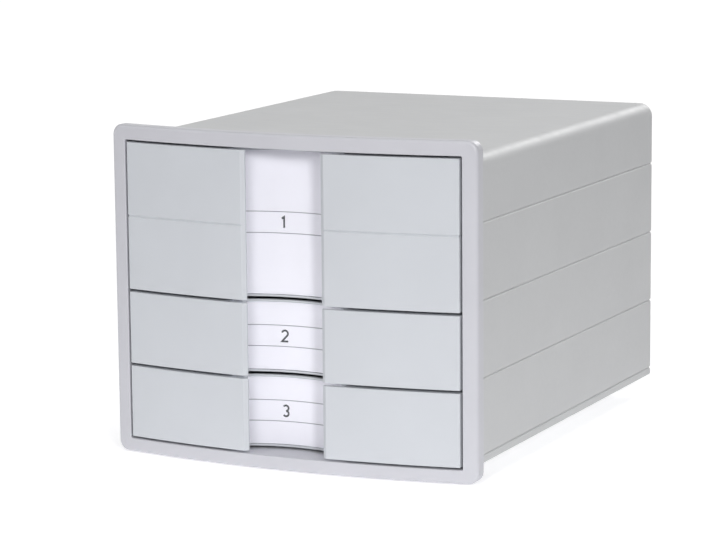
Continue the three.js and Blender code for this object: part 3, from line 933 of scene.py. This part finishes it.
class Shading:
    """The nodes of one procedural material."""

    def __init__(self, name):
        self.material = bpy.data.materials.new(name)
        self.material.use_nodes = True
        self.tree = self.material.node_tree
        self.surface = self.tree.nodes["Principled BSDF"]
        self.place = self.tree.nodes.new("ShaderNodeTexCoord").outputs["Object"]

    def noise(self, size, detail, stretch=(1, 1, 1)):
        """Noise with features of about the given size."""
        mapping = self.tree.nodes.new("ShaderNodeMapping")
        mapping.inputs["Scale"].default_value = stretch
        self.tree.links.new(self.place, mapping.inputs["Vector"])
        noise = self.tree.nodes.new("ShaderNodeTexNoise")
        noise.inputs["Scale"].default_value = 1 / size
        noise.inputs["Detail"].default_value = detail
        self.tree.links.new(mapping.outputs["Vector"], noise.inputs["Vector"])
        return noise.outputs["Fac"]

    def spread(self, value, low, high):
        """Maps the middle of a value from 0 to 1, such as a noise, to the range between two others."""
        spread = self.tree.nodes.new("ShaderNodeMapRange")
        spread.inputs["From Min"].default_value = NOISE_LOW
        spread.inputs["From Max"].default_value = NOISE_HIGH
        spread.inputs["To Min"].default_value = low
        spread.inputs["To Max"].default_value = high
        self.tree.links.new(value, spread.inputs["Value"])
        return spread.outputs["Result"]

    def colour(self, clouds, tints):
        """Clouds the surface with two tints."""
        mix = self.tree.nodes.new("ShaderNodeMix")
        mix.data_type = "RGBA"
        mix.inputs["A"].default_value = linear_colour(tints[0])
        mix.inputs["B"].default_value = linear_colour(tints[1])
        self.tree.links.new(self.spread(clouds, 0, 1), mix.inputs["Factor"])
        self.tree.links.new(mix.outputs["Result"], self.surface.inputs["Base Color"])

    def rough(self, marks, low, high):
        """Varies the roughness between two values."""
        self.tree.links.new(self.spread(marks, low, high), self.surface.inputs["Roughness"])

    def relief(self, heights):
        """Small relief from (noise, depth) pairs."""
        normal = None
        for value, depth in heights:
            bump = self.tree.nodes.new("ShaderNodeBump")
            bump.inputs["Strength"].default_value = BUMP_STRENGTH
            bump.inputs["Distance"].default_value = depth
            self.tree.links.new(value, bump.inputs["Height"])
            if normal:
                self.tree.links.new(normal, bump.inputs["Normal"])
            normal = bump.outputs["Normal"]
        self.tree.links.new(normal, self.surface.inputs["Normal"])


def moulded_plastic(name, tints, roughness, grain):
    """Moulded plastic with a fine spark-eroded grain, faint clouding, and a few handling marks."""
    shading = Shading(name)
    clouds = shading.noise(CLOUD_SIZE, 3)
    marks = shading.noise(MARK_SIZE, 2, (1, MARK_STRETCH, MARK_STRETCH))
    shading.colour(clouds, tints)
    shading.rough(marks, roughness - ROUGHNESS_SPREAD, roughness + ROUGHNESS_SPREAD)
    shading.relief([
        (shading.noise(GRAIN_SIZE, 2), grain),
        (shading.noise(SINK_SIZE, 1), SINK_DEPTH),
    ])
    return shading.material


def paper(name, tints):
    """Matt paper with fine upright fibres, or ink that is printed on it."""
    shading = Shading(name)
    shading.colour(shading.noise(CLOUD_SIZE, 4), tints)
    fibres = shading.noise(GRAIN_SIZE, 4, (1, 1, 1 / MARK_STRETCH))
    shading.rough(fibres, *PAPER_ROUGHNESS)
    shading.relief([(fibres, PAPER_DEPTH)])
    return shading.material


def rubber(name, tints):
    """Dull rubber with a fine grain."""
    shading = Shading(name)
    shading.colour(shading.noise(MARK_SIZE, 4), tints)
    grain = shading.noise(GRAIN_SIZE, 3)
    shading.rough(grain, *RUBBER_ROUGHNESS)
    shading.relief([(grain, GRAIN_DEPTH)])
    return shading.material


def clear_film(name, tints):
    """Clear film with a faint handling haze."""
    shading = Shading(name)
    shading.colour(shading.noise(CLOUD_SIZE, 2), tints)
    shading.rough(shading.noise(MARK_SIZE, 3), *FILM_ROUGHNESS)
    shading.relief([(shading.noise(SINK_SIZE, 1), SINK_DEPTH / 2)])
    shading.surface.inputs["Alpha"].default_value = FILM_ALPHA
    return shading.material


frame_plastic = moulded_plastic("Frame plastic", FRAME_TINTS, FRAME_ROUGHNESS, GRAIN_DEPTH / 2)
front_plastic = moulded_plastic("Front plastic", FRONT_TINTS, PLASTIC_ROUGHNESS, GRAIN_DEPTH)
housing_plastic = moulded_plastic("Housing plastic", HOUSING_TINTS, PLASTIC_ROUGHNESS, GRAIN_DEPTH)
tray_plastic = moulded_plastic("Tray plastic", TRAY_TINTS, PLASTIC_ROUGHNESS, GRAIN_DEPTH)
label_paper = paper("Label paper", PAPER_TINTS)
line_ink = paper("Line ink", LINE_TINTS)
number_ink = paper("Number ink", NUMBER_TINTS)
foot_rubber = rubber("Foot rubber", RUBBER_TINTS)
window_film = clear_film("Label window", FILM_TINTS)


# Pieces

dress(build_front_frame(), "front_frame", "housing", frame_plastic)
for index, level in enumerate(("lower", "middle", "upper")):
    ring = build_ring(index)
    dress(ring, f"housing_ring_{level}", "housing", housing_plastic)
dress(build_cover(), "housing_top", "housing", housing_plastic)
dress(build_base(), "housing_base", "housing", housing_plastic)
for name in FOOT_NODES:
    dress(build_foot(name), name, "housing", foot_rubber)

for number, drawer in zip((3, 2, 1), DRAWERS):
    body = f"{drawer}_drawer"
    low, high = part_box(f"{drawer}_drawer_front")
    label_heights = (low.z + LABEL_RIM + MEETING_GAP, high.z - LABEL_RIM - MEETING_GAP)
    dress(build_drawer_front(drawer), f"{drawer}_drawer_front", body, front_plastic)
    dress(build_tray(drawer), f"{drawer}_drawer_tray", body, tray_plastic)
    card = label_band("Label card", card_radius, card_radius + CARD, label_heights, CARD / 4)
    dress(card, f"{drawer}_label_card", body, label_paper)
    window = label_band("Label window", LABEL_RADIUS, LABEL_RADIUS + WINDOW, label_heights, WINDOW / 4)
    dress(window, f"{drawer}_label_window", body, window_film)
    rules, digits = build_print(number, (low.z + high.z) / 2)
    for place, rule in zip(("lower", "upper"), rules):
        dress(rule, f"{drawer}_label_rule_{place}", body, line_ink, replaced=False)
    for stroke, digit in enumerate(digits):
        dress(digit, f"{drawer}_label_number_{stroke}", body, number_ink, replaced=False)


# Floor, light and background

def build_floor():
    """A pale floor with a light of its own. The camera sees it as white as the background, apart
    from the object's shadow."""
    mesh = bmesh.new()
    corners = ((-1, -1), (1, -1), (1, 1), (-1, 1))
    mesh.faces.new([mesh.verts.new((x * FLOOR_HALF, y * FLOOR_HALF, 0)) for x, y in corners])
    floor = make_piece("Floor", mesh)
    shading = Shading("Floor")
    shading.colour(shading.noise(FLOOR_HALF, 2), FLOOR_TINTS)
    shading.rough(shading.noise(CLOUD_SIZE, 2), *FLOOR_ROUGHNESS)
    shading.surface.inputs["Emission Color"].default_value = WHITE
    seen = shading.tree.nodes.new("ShaderNodeLightPath").outputs["Is Camera Ray"]
    glow = shading.spread(seen, FLOOR_GLOW, FLOOR_WHITE)
    shading.tree.links.new(glow, shading.surface.inputs["Emission Strength"])
    floor.data.materials.append(shading.material)


def add_light(name, azimuth, elevation, distance, size, power):
    """A soft square light that looks at the object's middle. Azimuth 0 is in front of the object."""
    target = Vector((0, 0, (cad_low[2] + cad_high[2]) / 2))
    turn = math.radians(azimuth)
    rise = math.radians(elevation)
    direction = Vector((
        math.cos(rise) * math.sin(turn),
        -math.cos(rise) * math.cos(turn),
        math.sin(rise),
    ))
    data = bpy.data.lights.new(name, "AREA")
    data.size = size
    data.energy = power
    light = bpy.data.objects.new(name, data)
    light.location = target + direction * distance
    light.rotation_euler = (-direction).to_track_quat("-Z", "Y").to_euler()
    bpy.context.scene.collection.objects.link(light)


def set_background():
    """White for the camera, reflections and clear film, and soft grey light on the object."""
    world = bpy.data.worlds.new("Studio")
    bpy.context.scene.world = world
    world.use_nodes = True
    nodes = world.node_tree.nodes
    links = world.node_tree.links
    nodes.clear()
    path = nodes.new("ShaderNodeLightPath")
    seen = path.outputs["Is Camera Ray"]
    for kind in ("Is Glossy Ray", "Is Transmission Ray"):
        either = nodes.new("ShaderNodeMath")
        either.operation = "MAXIMUM"
        links.new(seen, either.inputs[0])
        links.new(path.outputs[kind], either.inputs[1])
        seen = either.outputs["Value"]
    mix = nodes.new("ShaderNodeMixShader")
    links.new(seen, mix.inputs["Fac"])
    for place, strength in ((1, WORLD_STRENGTH), (2, WHITE_STRENGTH)):
        background = nodes.new("ShaderNodeBackground")
        background.inputs["Color"].default_value = WHITE
        background.inputs["Strength"].default_value = strength
        links.new(background.outputs["Background"], mix.inputs[place])
    output = nodes.new("ShaderNodeOutputWorld")
    links.new(mix.outputs["Shader"], output.inputs["Surface"])


build_floor()
set_background()
for name, values in LIGHTS.items():
    add_light(name, *values)


# Camera

camera_data = bpy.data.cameras.new("Camera")
camera_data.sensor_width = SENSOR_WIDTH
camera_data.lens = CAMERA_LENS
camera_data.clip_start = CAMERA_CLIP_START
camera = bpy.data.objects.new("Camera", camera_data)
camera.location = CAMERA_PLACE
upright = Euler((math.radians(90 - CAMERA_PITCH), 0, math.radians(CAMERA_YAW)))
camera.rotation_mode = "QUATERNION"
camera.rotation_quaternion = upright.to_quaternion() @ Quaternion((0, 0, 1), math.radians(CAMERA_ROLL))
bpy.context.scene.collection.objects.link(camera)
bpy.context.scene.camera = camera
bpy.context.scene.view_settings.view_transform = "Standard"
